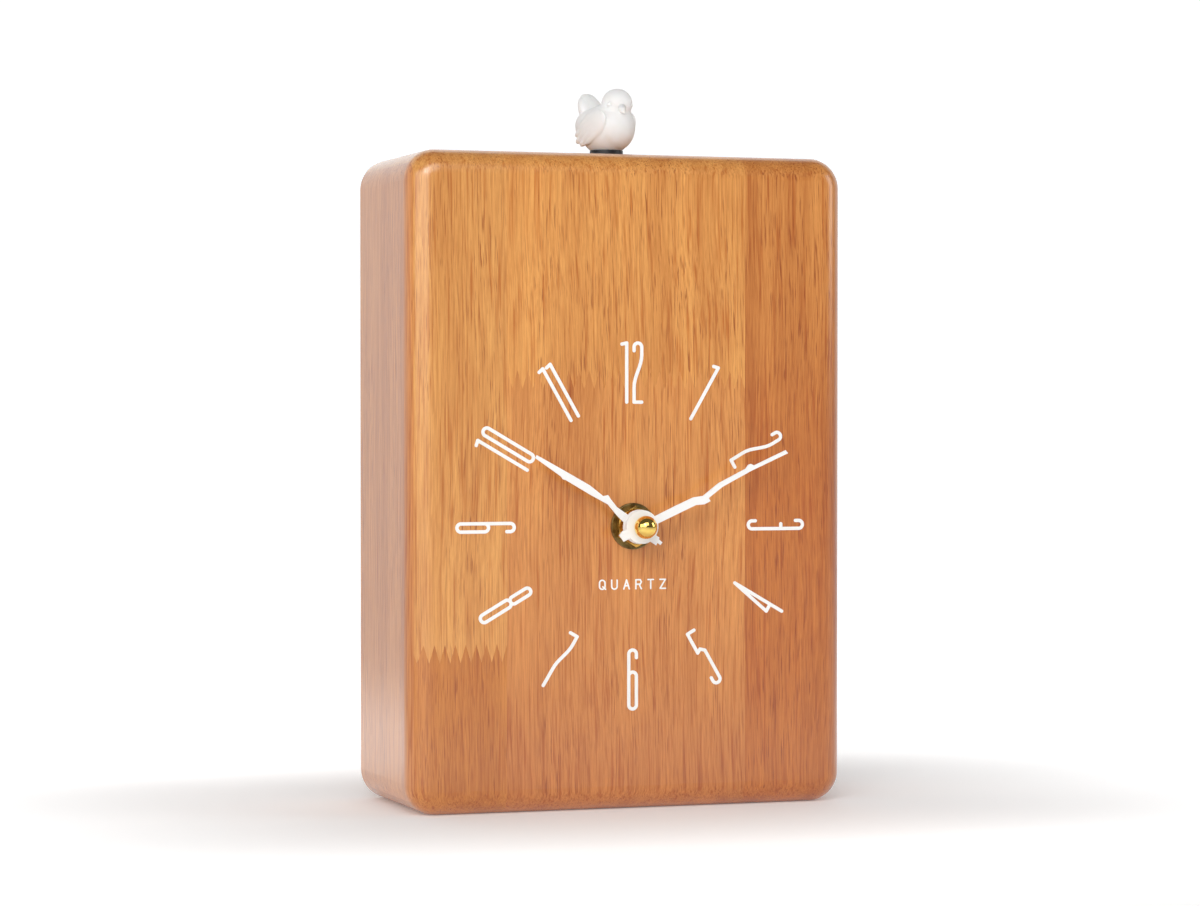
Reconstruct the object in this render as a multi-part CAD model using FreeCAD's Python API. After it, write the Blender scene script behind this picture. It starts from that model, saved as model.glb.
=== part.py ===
import FreeCAD, Part
import math
import os

V = FreeCAD.Vector

# Wooden block table clock.  Millimetres; x right, y to the rear, z up.
# The origin is the centre of the face the block stands on.

# wooden case
CASE_W = 140.0
CASE_D = 60.0
CASE_H = 200.0
CASE_CORNER_R = 9.4
FRONT_ROUND_R = 7.5
REAR_ROUND_R = 2.5
FRONT_Y = -CASE_D / 2
REAR_Y = CASE_D / 2
FRONT_WALL = 10.0
SIDE_WALL = 12.0
POCKET_CORNER_R = 22.0
MID_Z = CASE_H / 2

# pull-off rear cover
COVER_T = 3.0
COVER_SEAT = 0.1
COVER_CLEAR = 0.3
REBATE_W = 122.0
REBATE_H = 182.0
REBATE_R = 6.0
REBATE_Y = REAR_Y - COVER_T - 0.2
FINGER_HOLE_R = 9.0
FINGER_HOLE_Z = 32.0
SOUND_HOLE_R = 1.5
SOUND_HOLE_PITCH = 6.0
MAGNET_R = 3.0
MAGNET_T = 3.0
MAGNET_X = 54.5
MAGNET_Z = 84.5
DISC_R = 3.2
DISC_T = 1.0

# dial and hands
DIAL_Z = 86.5
PRINT_T = 0.15
NUMERAL_CIRCLE_R = 46.7
NUMERAL_H = 19.0
NUMERAL_W = 3.5
NUMERAL_STROKE = 1.05
WORD_H = 3.2
WORD_LETTER_W = 2.2
WORD_PITCH = 3.9
WORD_STROKE = 0.45
WORD_Z = 68.8
HOUR_ANGLE = 303.2
MINUTE_ANGLE = 64.4
HAND_T = 0.5
HOUR_HAND_Y = FRONT_Y - 6.2
MINUTE_HAND_Y = FRONT_Y - 8.8
HOUR_DISC_R = 5.2
MINUTE_DISC_R = 5.1

# centre stack in front of the dial
WASHER_R = 7.05
WASHER_T = 1.0
NUT_FLATS = 11.0
NUT_T = 3.0
POST_R = 4.0
POST_BORE_R = 2.6
POST_FRONT_Y = FRONT_Y - 4.6
THREAD_PITCH = 0.75
THREAD_DEPTH = 0.4
BALL_R = 3.5
BALL_Y = FRONT_Y - 12.1

# quartz movement; depths inside it are counted from its front face
MOVE_Y = -19.0
MOVE_SIDE = 56.0
MOVE_HALF = MOVE_SIDE / 2
MOVE_CORNER_R = 3.0
MOVE_SHELL_DEPTH = 14.8
MOVE_DEPTH = 16.0
MOVE_WALL = 1.2
GEAR_ROOM_FLOOR = -10.8
BAY_TOP = -12.0
BAY_HALF_X = 26.5
FLANGE_R = 5.5
BOSS_R = 1.3
PIVOT_R = 0.4
ARBOR_R = 0.55
RUN = 0.05
HOUR_TUBE_R = 2.5
HOUR_TUBE_BORE = 1.7
MINUTE_ARBOR_R = 1.65
MINUTE_TAIL_R = 0.95
CAP_THREAD_R = 1.35
STUD_R = 0.7
KNOB_SHAFT_R = 1.0
KNOB_R = 5.5

# going train: axis positions relative to the centre of the dial
CENTRE_AXIS = (0.0, 0.0)
THIRD_AXIS = (-8.83, 5.1)
SECONDS_AXIS = (-5.75, 13.56)
MIDDLE_AXIS = (1.25, 13.56)
ROTOR_AXIS = (7.05, 12.0)
MINUTE_WHEEL_AXIS = (7.9, 2.87)
KNOB_AXIS = (16.3, 2.87)
M_CENTRE = 0.3
M_TRAIN = 0.25
M_MINUTE = 0.35
M_HOUR = 0.336
T_CENTRE = 60
T_THIRD = 64
T_SECONDS = 48
T_MIDDLE = 40
T_PINION = 8
T_CANNON = 12
T_MINUTE = 36
T_HOUR_PINION = 10
T_HOUR = 40
TOOTH_TIP = 0.75
TOOTH_ROOT = 1.05
TOOTH_TIP_HALF = 0.1
TOOTH_ROOT_HALF = 0.26

# AA cell
CELL_R = 7.25
CELL_LEN = 50.5
CELL_NUB_R = 2.75
CELL_NUB = 1.0
CELL_DEPTH = 8.4
CELL_Z = DIAL_Z - 19.5

# push button that carries the bird
BIRD_X = 0.0
BIRD_Y = -5.5
STEM_R = 5.15
STEM_TOP_Z = 202.2
SHOULDER_Z = 188.4
SHANK_R = 3.0
STEM_END_Z = 176.5
BUSH_R = 6.7
BUSH_TOP_Z = 199.9
BUSH_FLOOR_Z = 181.0
BUSH_BOTTOM_Z = 179.5
BUSH_FLANGE_R = 12.0
BUSH_FLANGE_T = 2.0
LEG_X = 8.8
LEG_R = 2.2
BOARD_TOP_Z = 171.0
BOARD_T = 1.6
SPRING_R = 4.05
SPRING_WIRE_R = 0.3
SPRING_TURNS = 5.0
SPRING_SIDES = 10
CLIP_Z = 178.3
CLIP_T = 0.8
CLIP_R = 4.9
GROOVE_R = 2.4


def box(x0, x1, y0, y1, z0, z1):
    return Part.makeBox(x1 - x0, y1 - y0, z1 - z0, V(x0, y0, z0))


def rod(radius, x, z, y0, y1):
    return Part.makeCylinder(radius, y1 - y0, V(x, y0, z), V(0, 1, 0))


def post(radius, x, y, z0, z1):
    return Part.makeCylinder(radius, z1 - z0, V(x, y, z0), V(0, 0, 1))


def bar(radius, x0, x1, y, z):
    return Part.makeCylinder(radius, x1 - x0, V(x0, y, z), V(1, 0, 0))


def rounded_plate(width, height, radius, centre_z, y0, y1):
    plate = box(-width / 2, width / 2, y0, y1, centre_z - height / 2, centre_z + height / 2)
    uprights = [e for e in plate.Edges if abs(e.tangentAt(e.FirstParameter).y) > 0.9]
    return plate.makeFillet(radius, uprights)


def edges_in_plane(shape, y):
    return [e for e in shape.Edges if all(abs(v.Point.y - y) < 1e-6 for v in e.Vertexes)]


def polygon_face(points, y):
    corners = [V(x, y, z) for x, z in points]
    return Part.Face(Part.makePolygon(corners + corners[:1]))


def depth(v):
    return MOVE_Y + v


def train_rod(radius, axis, v0, v1):
    return rod(radius, axis[0], DIAL_Z + axis[1], depth(v0), depth(v1))


def corner_magnets(radius, y0, y1):
    places = [(sx * MAGNET_X, MID_Z + sz * MAGNET_Z) for sx in (-1, 1) for sz in (-1, 1)]
    return Part.makeCompound([rod(radius, x, z, y0, y1) for x, z in places])


# ---------------------------------------------------------------- case

def make_wood_case():
    block = rounded_plate(CASE_W, CASE_H, CASE_CORNER_R, MID_Z, FRONT_Y, REAR_Y)
    block = block.makeFillet(FRONT_ROUND_R, edges_in_plane(block, FRONT_Y))
    block = block.makeFillet(REAR_ROUND_R, edges_in_plane(block, REAR_Y))
    pocket = rounded_plate(CASE_W - 2 * SIDE_WALL, CASE_H - 2 * SIDE_WALL, POCKET_CORNER_R,
                           MID_Z, FRONT_Y + FRONT_WALL, REAR_Y)
    rebate = rounded_plate(REBATE_W, REBATE_H, REBATE_R, MID_Z, REBATE_Y, REAR_Y)
    block = block.cut(pocket).cut(rebate)
    block = block.cut(rod(POST_R + 0.3, 0, DIAL_Z, FRONT_Y, FRONT_Y + FRONT_WALL))
    block = block.cut(post(BUSH_R + RUN, BIRD_X, BIRD_Y, CASE_H - SIDE_WALL, CASE_H))
    return block.cut(corner_magnets(MAGNET_R + RUN, REBATE_Y - MAGNET_T - RUN, REBATE_Y))


def make_case_magnets():
    return corner_magnets(MAGNET_R, REBATE_Y - MAGNET_T - RUN, REBATE_Y - RUN)


def make_rear_cover():
    y0 = REBATE_Y + COVER_SEAT
    cover = rounded_plate(REBATE_W - 2 * COVER_CLEAR, REBATE_H - 2 * COVER_CLEAR,
                          REBATE_R - COVER_CLEAR, MID_Z, y0, y0 + COVER_T)
    cover = cover.cut(rod(FINGER_HOLE_R, 0, FINGER_HOLE_Z, y0, y0 + COVER_T))
    centre_z = BOARD_TOP_Z - BOARD_T
    cover = cover.cut(rod(SOUND_HOLE_R, 0, centre_z, y0, y0 + COVER_T))
    for k in range(6):
        x = SOUND_HOLE_PITCH * math.cos(k * math.pi / 3)
        z = centre_z + SOUND_HOLE_PITCH * math.sin(k * math.pi / 3)
        cover = cover.cut(rod(SOUND_HOLE_R, x, z, y0, y0 + COVER_T))
    return cover.cut(corner_magnets(DISC_R + RUN, y0, y0 + DISC_T + RUN))


def make_cover_discs():
    y0 = REBATE_Y + COVER_SEAT
    return corner_magnets(DISC_R, y0, y0 + DISC_T)


# ---------------------------------------------------------------- dial print

def line_edge(a, b):
    return Part.LineSegment(V(a[0], 0, a[1]), V(b[0], 0, b[1])).toShape()


def arc_edge(a, mid, b):
    return Part.Arc(V(a[0], 0, a[1]), V(mid[0], 0, mid[1]), V(b[0], 0, b[1])).toShape()


def half_turn(radius, top, side):
    # half circle over (side = 1) or under (side = -1) the level of its centre
    return arc_edge((-radius, top), (0, top + side * radius), (radius, top))


def inked(edges, width):
    # one pen stroke of constant width along joined edges
    pieces = []
    for e in edges:
        a = e.valueAt(e.FirstParameter)
        b = e.valueAt(e.LastParameter)
        if isinstance(e.Curve, Part.Line):
            along = (b - a).normalize()
            across = V(-along.z, 0, along.x) * (width / 2)
            quad = Part.makePolygon([a + across, b + across, b - across, a - across, a + across])
            pieces.append(Part.Face(quad).extrude(V(0, -PRINT_T, 0)))
        else:
            centre = e.Curve.Center
            radius = e.Curve.Radius
            ring = Part.makeCylinder(radius + width / 2, PRINT_T, centre, V(0, -1, 0))
            ring = ring.cut(Part.makeCylinder(radius - width / 2, PRINT_T, centre, V(0, -1, 0)))
            mid = e.valueAt((e.FirstParameter + e.LastParameter) / 2)
            side = 1 if mid.z > centre.z else -1
            reach = radius + width
            low = centre.z if side > 0 else centre.z - reach
            half = box(centre.x - reach, centre.x + reach, -PRINT_T, 0, low, low + reach)
            pieces.append(ring.common(half))
        pieces.append(Part.makeCylinder(width / 2, PRINT_T, a, V(0, -1, 0)))
        pieces.append(Part.makeCylinder(width / 2, PRINT_T, b, V(0, -1, 0)))
    return pieces


def chain(points):
    return [line_edge(a, b) for a, b in zip(points, points[1:])]


def eased(start, end, steps):
    # points of a smooth S from one upright direction to another
    points = []
    for k in range(steps + 1):
        t = k / steps
        ease = (1 - math.cos(math.pi * t)) / 2
        points.append((start[0] + (end[0] - start[0]) * ease, start[1] + (end[1] - start[1]) * t))
    return points


def loop_edges(a, low, high):
    # upright closed loop with round ends
    sides = [line_edge((-a, low + a), (-a, high - a)), line_edge((a, low + a), (a, high - a))]
    return sides + [half_turn(a, high - a, 1), half_turn(a, low + a, -1)]


def digit_edges(digit, a, b):
    # a, b: half width and half height of the pen centre line
    hook = 1.1
    if digit == 0:
        return loop_edges(a, -b, b)
    if digit == 1:
        return chain([(-a * 1.25, b - 0.35), (0, b), (0, -b)])
    if digit == 2:
        top = [line_edge((-a, b - a - hook), (-a, b - a)), half_turn(a, b - a, 1)]
        sweep = eased((a, b * 0.6), (-a, -b * 0.5), 8)
        return top + chain([(a, b - a)] + sweep + [(-a, -b), (a, -b)])
    if digit == 3:
        top = [line_edge((-a, b - a - hook), (-a, b - a)), half_turn(a, b - a, 1)]
        low = [half_turn(a, a - b, -1), line_edge((-a, a - b), (-a, a - b + hook))]
        spine = [line_edge((a, b - a), (a, a - b)), line_edge((a, b * 0.2), (-a * 0.2, b * 0.2))]
        return top + spine + low
    if digit == 4:
        bar_z = -b * 0.5
        return chain([(a, -b), (a, b), (-a, bar_z), (a, bar_z)])
    if digit == 5:
        low = [half_turn(a, a - b, -1), line_edge((-a, a - b), (-a, a - b + hook))]
        return chain([(a, b), (-a, b), (-a, b * 0.25), (0, b * 0.33), (a, b * 0.2), (a, a - b)]) + low
    if digit == 6:
        top = [line_edge((a, b - a - hook), (a, b - a)), half_turn(a, b - a, 1)]
        return top + [line_edge((-a, b - a), (-a, a - b))] + loop_edges(a, -b, b * 0.25)
    if digit == 7:
        sweep = eased((a, b * 0.7), (-a * 0.6, -b * 0.35), 8)
        return chain([(-a, b), (a, b)] + sweep + [(-a * 0.7, -b)])
    if digit == 8:
        waist = b * 0.2
        return loop_edges(a * 0.92, waist, b) + loop_edges(a, -b, waist)
    low = [half_turn(a, a - b, -1), line_edge((-a, a - b), (-a, a - b + hook))]
    return loop_edges(a, -b * 0.1, b) + [line_edge((a, b - a), (a, a - b))] + low


def flat_solid(edges, width, shift):
    pieces = inked(edges, width)
    solid = pieces[0].multiFuse(pieces[1:]).removeSplitter()
    solid.translate(V(shift, 0, 0))
    return solid


def make_numeral(hour):
    a = (NUMERAL_W - NUMERAL_STROKE) / 2
    b = (NUMERAL_H - NUMERAL_STROKE) / 2
    digits = [int(c) for c in str(hour)]
    shifts = [0.0]
    if hour == 11:
        shifts = [-1.0, 1.7]
    elif hour > 9:
        shifts = [-1.9, 1.7]
    solids = [flat_solid(digit_edges(d, a, b), NUMERAL_STROKE, s) for d, s in zip(digits, shifts)]
    numeral = Part.makeCompound(solids)
    angle = 30.0 * hour
    turn = angle + 180.0 if 4 <= hour <= 8 else angle
    numeral.rotate(V(0, 0, 0), V(0, 1, 0), turn)
    out = math.radians(angle)
    numeral.translate(V(NUMERAL_CIRCLE_R * math.sin(out), FRONT_Y,
                        DIAL_Z + NUMERAL_CIRCLE_R * math.cos(out)))
    return numeral


def make_dial_numerals():
    return Part.makeCompound([make_numeral(hour) for hour in range(1, 13)])


def letter_edges(letter, a, b):
    if letter == "Q":
        return loop_edges(a, -b, b) + chain([(a * 0.2, -b * 0.45), (a * 1.2, -b)])
    if letter == "U":
        return chain([(-a, b), (-a, a - b)]) + [half_turn(a, a - b, -1)] + chain([(a, a - b), (a, b)])
    if letter == "A":
        return chain([(-a, -b), (0, b), (a, -b)]) + chain([(-a * 0.6, -b * 0.3), (a * 0.6, -b * 0.3)])
    if letter == "R":
        return chain([(-a, -b), (-a, b), (a * 0.6, b), (a, b * 0.5), (a * 0.6, 0), (-a, 0)]) + chain(
            [(a * 0.2, 0), (a, -b)])
    if letter == "T":
        return chain([(-a, b), (a, b)]) + chain([(0, b), (0, -b)])
    return chain([(-a, b), (a, b), (-a, -b), (a, -b)])


def make_dial_word():
    a = (WORD_LETTER_W - WORD_STROKE) / 2
    b = (WORD_H - WORD_STROKE) / 2
    word = "QUARTZ"
    solids = []
    for k, letter in enumerate(word):
        shift = (k - (len(word) - 1) / 2) * WORD_PITCH
        solids.append(flat_solid(letter_edges(letter, a, b), WORD_STROKE, shift))
    group = Part.makeCompound(solids)
    group.translate(V(0, FRONT_Y, WORD_Z))
    return group


# ---------------------------------------------------------------- hands and centre stack

def twig(outline, tail, disc_r, bore_r, y, collar_r, angle):
    # outline and tail: (along, to the left) pairs measured from the centre
    a = math.radians(angle)
    y0 = y - HAND_T / 2
    solid = rod(disc_r, 0, DIAL_Z, y0, y0 + HAND_T)
    for loop in (outline, tail):
        points = [(u * math.sin(a) - w * math.cos(a), DIAL_Z + u * math.cos(a) + w * math.sin(a))
                  for u, w in loop]
        solid = solid.fuse(polygon_face(points, y0).extrude(V(0, HAND_T, 0)))
    solid = solid.fuse(rod(collar_r, 0, DIAL_Z, y0, y0 + HAND_T + 0.8)).removeSplitter()
    return solid.cut(rod(bore_r, 0, DIAL_Z, y0, y0 + HAND_T + 0.8))


def make_hour_hand():
    outline = [(3.0, 1.6), (5.5, 1.5), (8.0, 1.0), (12.1, -0.2), (18.7, 0.4), (27.4, 0.9),
               (28.3, 1.2), (29.3, 0.8), (39.1, 0.6), (39.2, -0.4), (29.6, -1.2), (20.2, -1.9),
               (14.8, -1.5), (13.7, -2.6), (12.5, -2.1), (9.4, -1.1), (3.0, -1.0)]
    tail = [(-3.0, -0.8), (-7.2, -0.7), (-7.3, -0.2), (-8.8, 0.0), (-8.7, 1.0), (-7.5, 0.9),
            (-7.6, 1.8), (-3.0, 1.9)]
    return twig(outline, tail, HOUR_DISC_R, HOUR_TUBE_R, HOUR_HAND_Y, 3.7, HOUR_ANGLE)


def make_minute_hand():
    outline = [(3.0, 1.2), (12.1, 1.1), (18.6, 0.9), (21.6, -0.1), (27.8, 1.2), (37.7, 1.3),
               (39.0, 2.0), (39.8, 1.9), (40.6, 1.0), (51.9, 0.7), (52.2, -0.5), (38.8, -0.1),
               (28.5, -0.4), (23.0, -1.5), (23.1, -2.6), (20.9, -2.6), (18.4, -1.6), (3.0, -1.2)]
    tail = [(-3.0, 1.3), (-6.2, 1.7), (-7.7, 1.0), (-7.2, -1.4), (-3.0, -1.3)]
    return twig(outline, tail, MINUTE_DISC_R, MINUTE_ARBOR_R, MINUTE_HAND_Y, 2.9, MINUTE_ANGLE)


def make_cap_nut():
    base_y = MINUTE_HAND_Y - HAND_T / 2
    ball = Part.makeSphere(BALL_R, V(0, BALL_Y, DIAL_Z))
    ball = ball.fuse(rod(2.4, 0, DIAL_Z, BALL_Y, base_y - RUN))
    ball = ball.common(box(-BALL_R, BALL_R, BALL_Y - BALL_R, base_y - RUN,
                           DIAL_Z - BALL_R, DIAL_Z + BALL_R))
    return ball.cut(rod(CAP_THREAD_R + RUN, 0, DIAL_Z, BALL_Y + 0.3, base_y))


def make_dial_washer():
    washer = rod(WASHER_R, 0, DIAL_Z, FRONT_Y - WASHER_T, FRONT_Y)
    rim = [e for e in edges_in_plane(washer, FRONT_Y - WASHER_T)]
    washer = washer.makeFillet(0.25, rim)
    return washer.cut(rod(POST_R + RUN, 0, DIAL_Z, FRONT_Y - WASHER_T, FRONT_Y))


def make_hex_nut():
    corner_r = NUT_FLATS / 2 / math.cos(math.pi / 6)
    y0 = FRONT_Y - WASHER_T - NUT_T
    points = []
    for k in range(6):
        angle = math.radians(90 + 60 * k)
        points.append((corner_r * math.cos(angle), DIAL_Z + corner_r * math.sin(angle)))
    nut = polygon_face(points, y0).extrude(V(0, NUT_T, 0))
    bevel = Part.makeCone(NUT_FLATS / 2, NUT_FLATS / 2 + 2 * NUT_T, NUT_T, V(0, y0, DIAL_Z), V(0, 1, 0))
    return nut.common(bevel).cut(rod(POST_R + RUN, 0, DIAL_Z, y0, y0 + NUT_T))


def make_threaded_post():
    y_end = depth(MOVE_WALL)
    y_flange = y_end - 0.7
    points = [(POST_BORE_R, y_end), (POST_BORE_R, POST_FRONT_Y), (POST_R - THREAD_DEPTH, POST_FRONT_Y)]
    y = POST_FRONT_Y + THREAD_DEPTH
    while y < FRONT_Y + FRONT_WALL - THREAD_PITCH:
        points += [(POST_R, y), (POST_R - THREAD_DEPTH, y + THREAD_PITCH / 2)]
        y += THREAD_PITCH
    points += [(POST_R, y), (POST_R, y_flange), (FLANGE_R, y_flange), (FLANGE_R, y_end)]
    corners = [V(r, yy, 0) for r, yy in points]
    turned = Part.Face(Part.makePolygon(corners + corners[:1])).revolve(V(0, 0, 0), V(0, 1, 0), 360)
    turned.translate(V(0, 0, DIAL_Z))
    return turned


def make_rubber_gasket():
    y1 = MOVE_Y - RUN
    ring = rod(12.0, 0, DIAL_Z, FRONT_Y + FRONT_WALL + RUN, y1)
    return ring.cut(rod(POST_R + 0.3, 0, DIAL_Z, FRONT_Y + FRONT_WALL, y1))


# ---------------------------------------------------------------- gears

def gear(teeth, module, phase, axis, v0, v1):
    step = 2 * math.pi / teeth
    pitch_r = module * teeth / 2
    profile = ((pitch_r - TOOTH_ROOT * module, -TOOTH_ROOT_HALF),
               (pitch_r + TOOTH_TIP * module, -TOOTH_TIP_HALF),
               (pitch_r + TOOTH_TIP * module, TOOTH_TIP_HALF),
               (pitch_r - TOOTH_ROOT * module, TOOTH_ROOT_HALF))
    points = []
    for k in range(teeth):
        for radius, offset in profile:
            angle = phase + (k + offset) * step
            points.append((axis[0] + radius * math.cos(angle), DIAL_Z + axis[1] + radius * math.sin(angle)))
    return polygon_face(points, depth(v0)).extrude(V(0, v1 - v0, 0))


def heading(axis_a, axis_b):
    return math.atan2(axis_b[1] - axis_a[1], axis_b[0] - axis_a[0])


def meshed(phase_a, teeth_a, axis_a, teeth_b, axis_b, module):
    # tooth phase of gear b that puts a gap of b over the tooth of a on the line of centres
    line = heading(axis_a, axis_b)
    slip = (phase_a - line) * module * teeth_a / 2
    return line + math.pi - (slip + module * math.pi / 2) / (module * teeth_b / 2)


PHASE_CENTRE = 0.0
PHASE_THIRD = meshed(PHASE_CENTRE, T_CENTRE, CENTRE_AXIS, T_PINION, THIRD_AXIS, M_CENTRE)
PHASE_SECONDS = meshed(0.0, T_THIRD, THIRD_AXIS, T_PINION, SECONDS_AXIS, M_TRAIN)
PHASE_MIDDLE = meshed(0.0, T_SECONDS, SECONDS_AXIS, T_PINION, MIDDLE_AXIS, M_TRAIN)
PHASE_ROTOR = meshed(0.0, T_MIDDLE, MIDDLE_AXIS, T_PINION, ROTOR_AXIS, M_TRAIN)
PHASE_MINUTE_WHEEL = meshed(0.0, T_CANNON, CENTRE_AXIS, T_MINUTE, MINUTE_WHEEL_AXIS, M_MINUTE)
PHASE_KNOB = meshed(PHASE_MINUTE_WHEEL, T_MINUTE, MINUTE_WHEEL_AXIS, T_CANNON, KNOB_AXIS, M_MINUTE)
PHASE_HOUR = meshed(0.0, T_HOUR_PINION, MINUTE_WHEEL_AXIS, T_HOUR, CENTRE_AXIS, M_HOUR)


def arbor(axis, front_boss, rear_boss):
    solid = train_rod(ARBOR_R, axis, front_boss + 0.2, rear_boss - 0.2)
    return solid.fuse(train_rod(PIVOT_R, axis, front_boss - 1.4, rear_boss + 1.4))


FRONT_BOSS = {"third": 4.6, "seconds": 6.6, "middle": 8.4, "rotor": 6.6, "knob": 2.8}
REAR_BOSS = {"third": 10.6, "seconds": 12.2, "middle": 12.4, "rotor": 12.6, "centre": 11.5}


def make_centre_wheel():
    wheel = gear(T_CENTRE, M_CENTRE, PHASE_CENTRE, CENTRE_AXIS, 5.2, 6.4)
    return wheel.cut(train_rod(MINUTE_ARBOR_R + RUN, CENTRE_AXIS, 5.0, 6.6))


def make_third_wheel():
    solid = arbor(THIRD_AXIS, FRONT_BOSS["third"], REAR_BOSS["third"])
    solid = solid.fuse(gear(T_PINION, M_CENTRE, PHASE_THIRD, THIRD_AXIS, 5.0, 7.2))
    return solid.fuse(gear(T_THIRD, M_TRAIN, 0.0, THIRD_AXIS, 7.2, 8.2))


def make_seconds_wheel():
    solid = arbor(SECONDS_AXIS, FRONT_BOSS["seconds"], REAR_BOSS["seconds"])
    solid = solid.fuse(gear(T_PINION, M_TRAIN, PHASE_SECONDS, SECONDS_AXIS, 7.0, 9.0))
    return solid.fuse(gear(T_SECONDS, M_TRAIN, 0.0, SECONDS_AXIS, 9.0, 10.0))


def make_intermediate_wheel():
    solid = arbor(MIDDLE_AXIS, FRONT_BOSS["middle"], REAR_BOSS["middle"])
    solid = solid.fuse(gear(T_PINION, M_TRAIN, PHASE_MIDDLE, MIDDLE_AXIS, 8.8, 10.8))
    return solid.fuse(gear(T_MIDDLE, M_TRAIN, 0.0, MIDDLE_AXIS, 10.8, 11.8))


def make_rotor_pinion():
    solid = arbor(ROTOR_AXIS, FRONT_BOSS["rotor"], REAR_BOSS["rotor"])
    return solid.fuse(gear(T_PINION, M_TRAIN, PHASE_ROTOR, ROTOR_AXIS, 10.4, 12.2))


def make_rotor_magnet():
    ring = train_rod(2.6, ROTOR_AXIS, 7.0, 10.2)
    return ring.cut(train_rod(ARBOR_R + 0.02, ROTOR_AXIS, 7.0, 10.2))


def make_minute_arbor():
    front_y = MINUTE_HAND_Y - HAND_T / 2
    solid = rod(MINUTE_ARBOR_R, 0, DIAL_Z, front_y, depth(6.6))
    solid = solid.fuse(rod(CAP_THREAD_R, 0, DIAL_Z, BALL_Y + 0.5, front_y))
    solid = solid.fuse(train_rod(MINUTE_TAIL_R, CENTRE_AXIS, 6.6, 13.2))
    return solid.fuse(gear(T_CANNON, M_MINUTE, 0.0, CENTRE_AXIS, 3.2, 4.8))


def make_minute_wheel():
    solid = gear(T_HOUR_PINION, M_HOUR, 0.0, MINUTE_WHEEL_AXIS, 1.5, 3.4)
    solid = solid.fuse(gear(T_MINUTE, M_MINUTE, PHASE_MINUTE_WHEEL, MINUTE_WHEEL_AXIS, 3.4, 4.6))
    return solid.cut(train_rod(STUD_R + RUN, MINUTE_WHEEL_AXIS, 1.4, 4.8))


def make_hour_wheel():
    tube_y = HOUR_HAND_Y - HAND_T / 2
    solid = gear(T_HOUR, M_HOUR, PHASE_HOUR, CENTRE_AXIS, 1.6, 2.8)
    solid = solid.fuse(rod(HOUR_TUBE_R, 0, DIAL_Z, tube_y, depth(1.6)))
    return solid.cut(rod(HOUR_TUBE_BORE, 0, DIAL_Z, tube_y, depth(2.8)))


def make_setting_knob():
    solid = train_rod(PIVOT_R, KNOB_AXIS, 1.6, 3.0)
    solid = solid.fuse(train_rod(KNOB_SHAFT_R, KNOB_AXIS, 3.0, 16.4))
    solid = solid.fuse(gear(T_CANNON, M_MINUTE, PHASE_KNOB, KNOB_AXIS, 3.2, 4.6))
    knob = train_rod(KNOB_R, KNOB_AXIS, 16.4, 20.0)
    for k in range(12):
        angle = k * math.pi / 6
        groove = (KNOB_AXIS[0] + KNOB_R * math.cos(angle), KNOB_AXIS[1] + KNOB_R * math.sin(angle))
        knob = knob.cut(train_rod(0.6, groove, 16.4, 20.0))
    return solid.fuse(knob)


# ---------------------------------------------------------------- movement shells and electrics

def make_movement_front_shell():
    shell = rounded_plate(MOVE_SIDE, MOVE_SIDE, MOVE_CORNER_R, DIAL_Z, MOVE_Y, depth(MOVE_SHELL_DEPTH))
    inner = MOVE_HALF - MOVE_WALL
    shell = shell.cut(box(-inner, inner, depth(MOVE_WALL), depth(MOVE_DEPTH),
                          DIAL_Z + GEAR_ROOM_FLOOR, DIAL_Z + inner))
    shell = shell.cut(box(-BAY_HALF_X, BAY_HALF_X, depth(1.0), depth(MOVE_DEPTH),
                          DIAL_Z - MOVE_HALF + 1.0, DIAL_Z + BAY_TOP))
    shell = shell.cut(train_rod(POST_R + 0.02, CENTRE_AXIS, 0.0, MOVE_WALL))
    shell = shell.cut(train_rod(FLANGE_R + 0.02, CENTRE_AXIS, MOVE_WALL - 0.72, MOVE_WALL))
    axes = {"third": THIRD_AXIS, "seconds": SECONDS_AXIS, "middle": MIDDLE_AXIS,
            "rotor": ROTOR_AXIS, "knob": KNOB_AXIS}
    for name, axis in axes.items():
        top = FRONT_BOSS[name]
        shell = shell.fuse(train_rod(BOSS_R, axis, MOVE_WALL, top))
        shell = shell.cut(train_rod(PIVOT_R + RUN, axis, max(top - 1.8, 0.4), top))
    shell = shell.fuse(train_rod(STUD_R, MINUTE_WHEEL_AXIS, MOVE_WALL, 4.9))
    for pillar, top in (((17.1, 19.5), 7.6), ((17.1, 7.1), 7.6), ((-22.0, 23.5), 9.0), ((12.0, 23.5), 9.0)):
        shell = shell.fuse(train_rod(1.2, pillar, MOVE_WALL, top))
    return shell.removeSplitter()


def make_movement_rear_shell():
    low = DIAL_Z + BAY_TOP + 0.2
    high = DIAL_Z + MOVE_HALF
    plate = rounded_plate(MOVE_SIDE, high - low, MOVE_CORNER_R - 1.0, (low + high) / 2,
                          depth(MOVE_SHELL_DEPTH), depth(MOVE_DEPTH))
    axes = {"third": THIRD_AXIS, "seconds": SECONDS_AXIS, "middle": MIDDLE_AXIS,
            "rotor": ROTOR_AXIS, "centre": CENTRE_AXIS}
    for name, axis in axes.items():
        bottom = REAR_BOSS[name]
        radius = MINUTE_TAIL_R if name == "centre" else PIVOT_R
        plate = plate.fuse(train_rod(radius + 0.9, axis, bottom, MOVE_SHELL_DEPTH))
        plate = plate.cut(train_rod(radius + RUN, axis, bottom, bottom + 1.9))
    return plate.cut(train_rod(KNOB_SHAFT_R + RUN, KNOB_AXIS, MOVE_SHELL_DEPTH, MOVE_DEPTH))


COIL_X = 21.5
COIL_V = 8.4
COIL_LOW = 7.1
COIL_HIGH = 22.3


def train_box(x0, x1, v0, v1, z0, z1):
    return box(x0, x1, depth(v0), depth(v1), DIAL_Z + z0, DIAL_Z + z1)


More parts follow.
